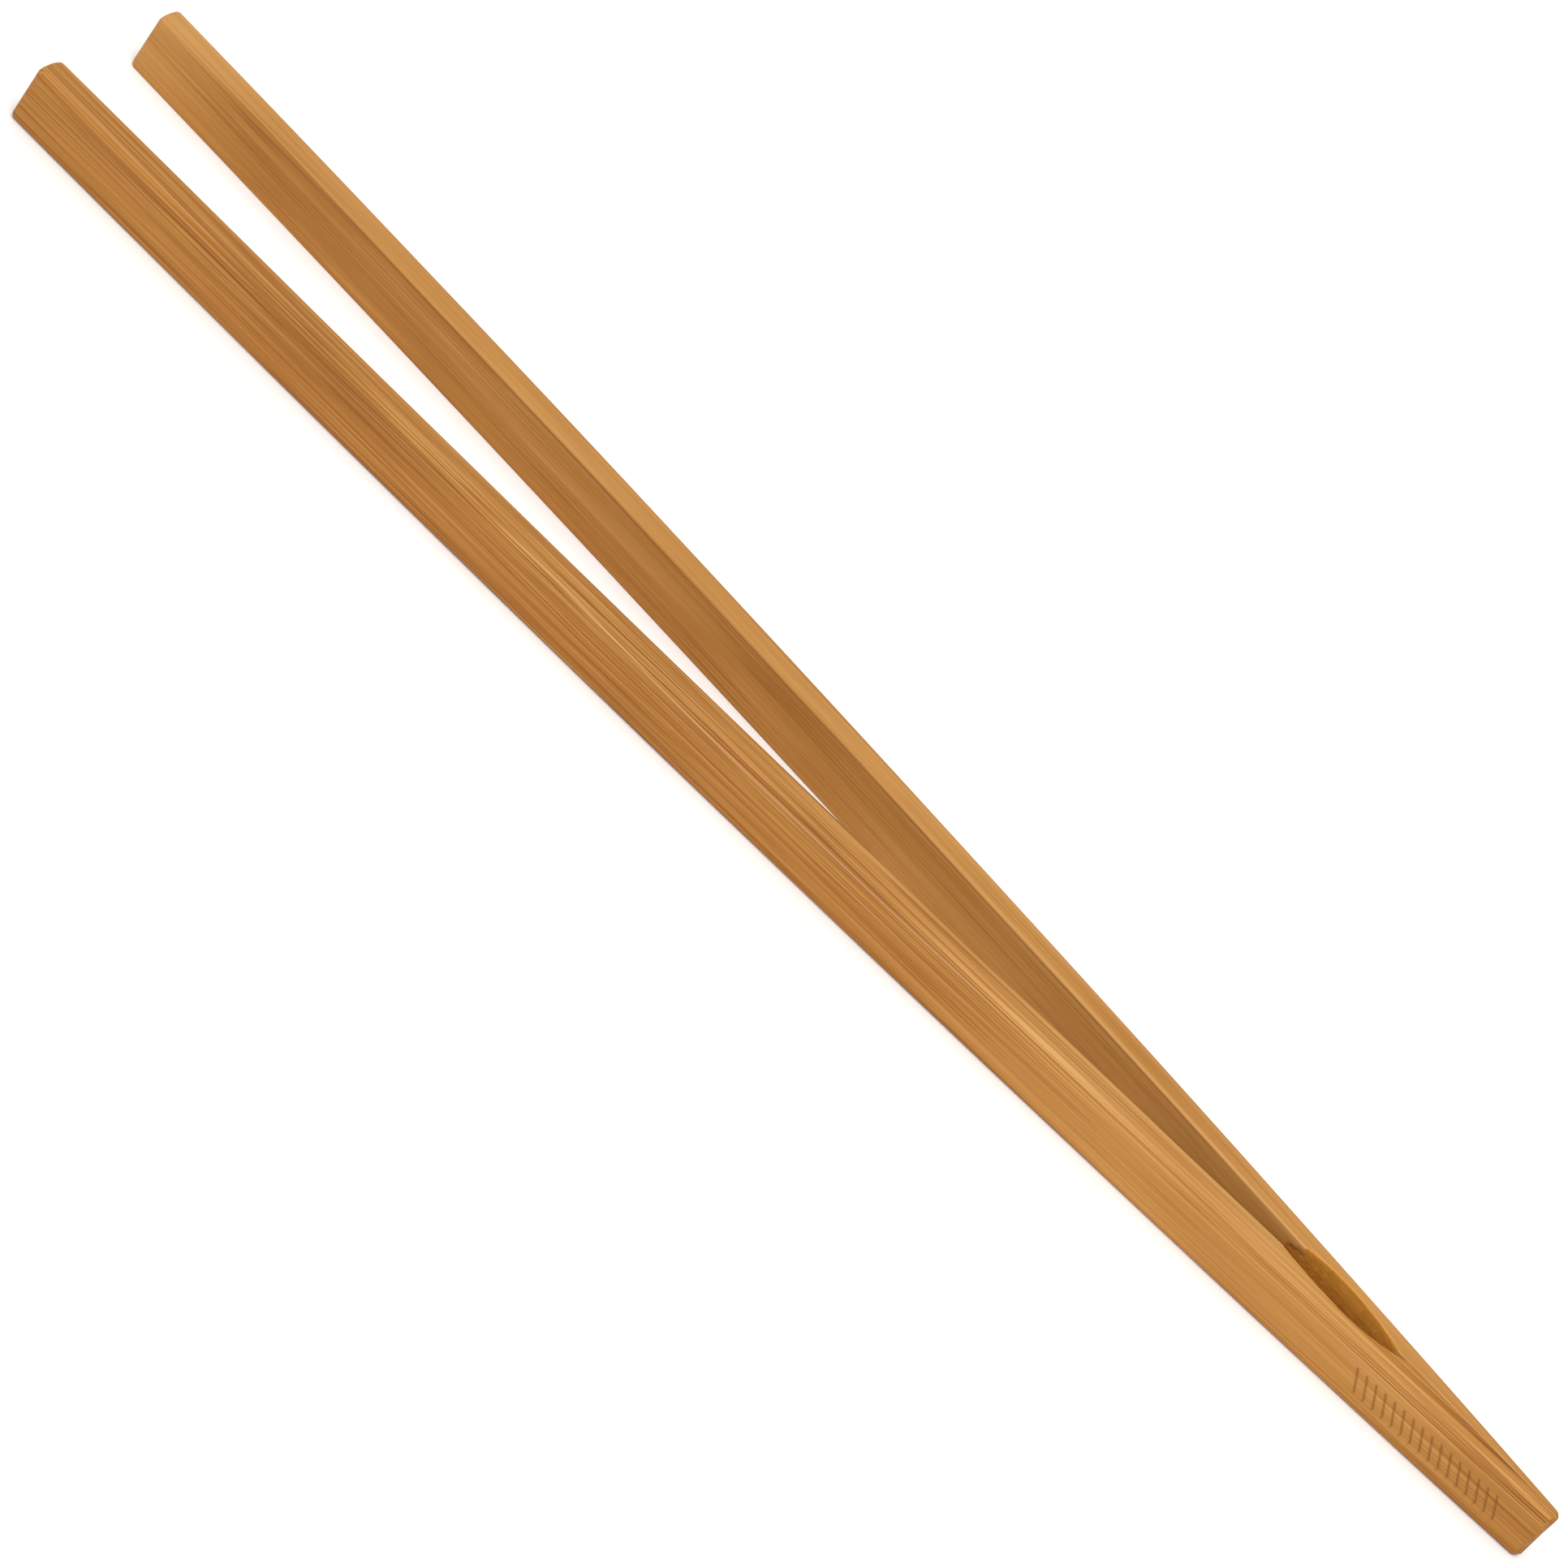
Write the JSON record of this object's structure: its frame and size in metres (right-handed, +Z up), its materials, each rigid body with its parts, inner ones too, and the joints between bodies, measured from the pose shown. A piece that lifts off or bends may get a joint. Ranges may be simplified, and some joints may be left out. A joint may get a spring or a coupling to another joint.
{
  "type": "print tongs",
  "caption": "Long bamboo tongs: slender laths glued face to face at the heel, each hollowed just past the glue so that it springs there.",
  "frame": {"origin": "centre of the bottom of the bounding box, on the surface that the tongs lie on", "axes": "+X runs from the tips to the glued heel, +Y from the front arm to the back arm, +Z up, across the laths' width"},
  "size_m": [0.305, 0.0368, 0.0102],
  "materials": {
    "bamboo": "carbonised bamboo, sanded, thin matt oil",
    "glue": "dried wood glue"
  },
  "bodies": {
    "heel": {"front_arm_heel": "bamboo", "back_arm_heel": "bamboo", "glue_line": "glue", "front_arm_flexure": "bamboo", "back_arm_flexure": "bamboo"},
    "front_arm": {"front_arm_blade": "bamboo"},
    "back_arm": {"back_arm_blade": "bamboo"}
  },
  "joints": [
    {"name": "front_arm_flex", "type": "hinge", "parent": "heel", "child": "front_arm", "pos_m": [0.109, -0.004, 0.0051], "axis": [0, 0, -1], "range_deg": [-1, 2.86], "stiffness_Nm_per_rad": 10, "deforming": ["front_arm_flexure"]},
    {"name": "back_arm_flex", "type": "hinge", "parent": "heel", "child": "back_arm", "pos_m": [0.109, 0.004, 0.0051], "axis": [0, 0, 1], "range_deg": [-1, 2.86], "stiffness_Nm_per_rad": 10, "deforming": ["back_arm_flexure"]}
  ]
}
